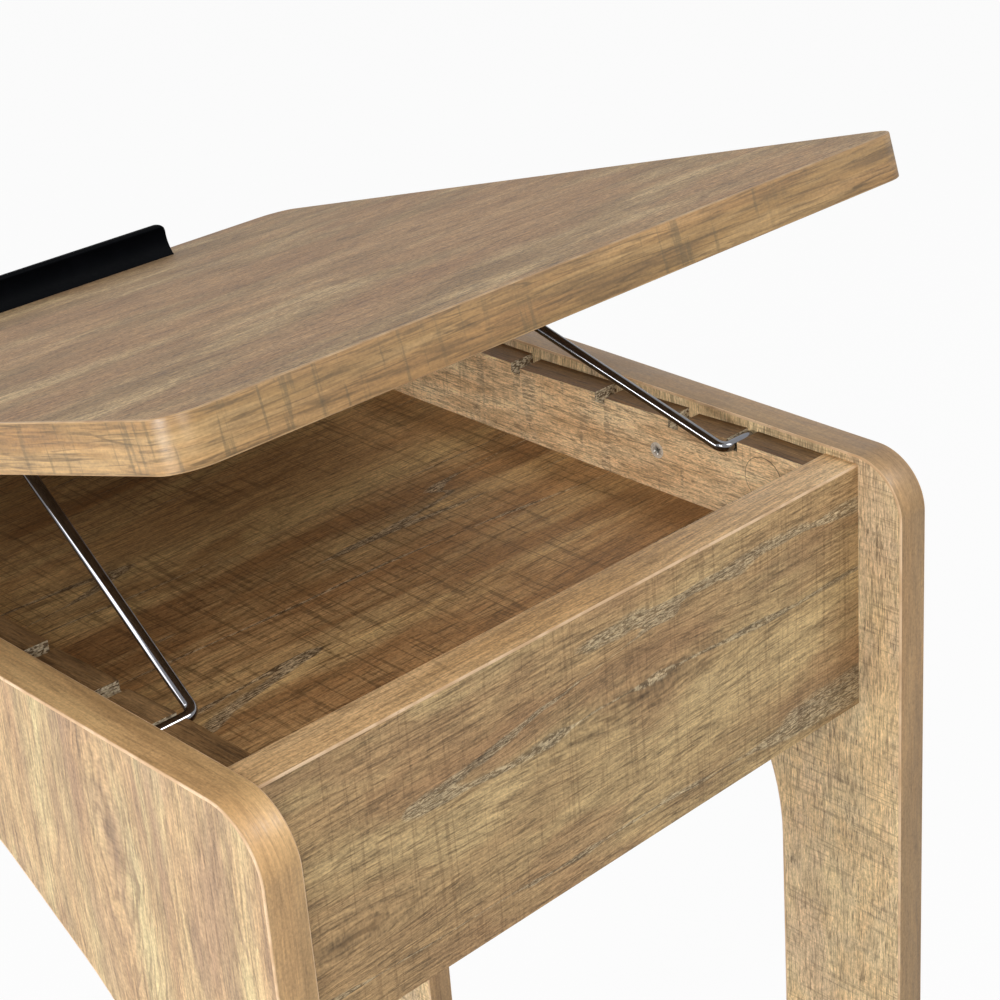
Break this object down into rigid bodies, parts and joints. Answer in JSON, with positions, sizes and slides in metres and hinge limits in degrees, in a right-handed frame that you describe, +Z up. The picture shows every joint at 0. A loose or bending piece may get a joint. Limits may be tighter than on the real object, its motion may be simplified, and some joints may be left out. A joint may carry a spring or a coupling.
{
  "type": "lift top end table",
  "caption": "Narrow end table with arched side panels, a shallow compartment and a hinged lid that tilts up on a notched wire prop, with a ledge along its lower edge.",
  "frame": {"origin": "on the floor, midway between the two side panels and midway between their edges", "axes": "+X across the table from the left side panel to the right one, +Y from the raised edge of the lid to its hinges and ledge, +Z up"},
  "size_m": [0.327, 0.3966, 0.7099],
  "materials": {
    "oak_laminate": "matt printed oak laminate on particle board",
    "dark_oak_laminate": "matt printed dark oak laminate on particle board",
    "pale_oak_laminate": "matt printed pale oak laminate on particle board, raw in the notches",
    "oak_edge_band": "satin printed edge banding",
    "glide_plastic": "moulded",
    "cover_film": "printed adhesive film",
    "zinc": "die-cast and plated",
    "beech": "bare",
    "nickel": "bright plated",
    "hinge_steel": "plated",
    "dark_chrome": "black chrome",
    "black_metal": "satin powder coat",
    "bumper_rubber": "moulded"
  },
  "bodies": {
    "frame": {"left_side_panel": "oak_laminate", "right_side_panel": "oak_laminate", "left_side_edge_bands": "oak_edge_band", "right_side_edge_bands": "oak_edge_band", "foot_glides": "glide_plastic", "rear_apron": "oak_laminate", "rear_apron_edge_band": "oak_edge_band", "front_apron": "oak_laminate", "front_apron_edge_band": "oak_edge_band", "compartment_floor": "dark_oak_laminate", "left_notched_rail": "pale_oak_laminate", "right_notched_rail": "pale_oak_laminate", "cam_locks": "zinc", "cam_bolts": "zinc", "dowels": "beech", "cam_cover_stickers": "cover_film", "rail_screws": "nickel", "hinge_fixed_leaves": "hinge_steel", "hinge_pins": "hinge_steel", "hinge_fixed_screws": "nickel"},
    "lid": {"lid_panel": "oak_laminate", "lid_edge_band": "oak_edge_band", "ledge": "black_metal", "ledge_screws": "nickel", "hinge_moving_leaves": "hinge_steel", "hinge_moving_screws": "nickel", "wire_clips": "hinge_steel", "wire_clip_screws": "nickel", "lid_bumpers": "bumper_rubber"},
    "support": {"support_wire": "dark_chrome", "support_wire_feet": "dark_chrome"}
  },
  "joints": [
    {"name": "lid_hinge", "type": "hinge", "parent": "frame", "child": "lid", "pos_m": [0, 0.1919, 0.5804], "axis": [-1, 0, 0], "range_deg": [-16.37, 30.6], "deforming": ["support_wire_feet"]},
    {"name": "wire_fold", "type": "hinge", "parent": "lid", "child": "support", "pos_m": [0, 0.02117, 0.63076], "axis": [1, 0, 0], "range_deg": [-38.2, 71.4]}
  ],
  "couplings": [
    {"joint": "wire_fold", "follows": "lid_hinge", "ratio": 2.33}
  ]
}
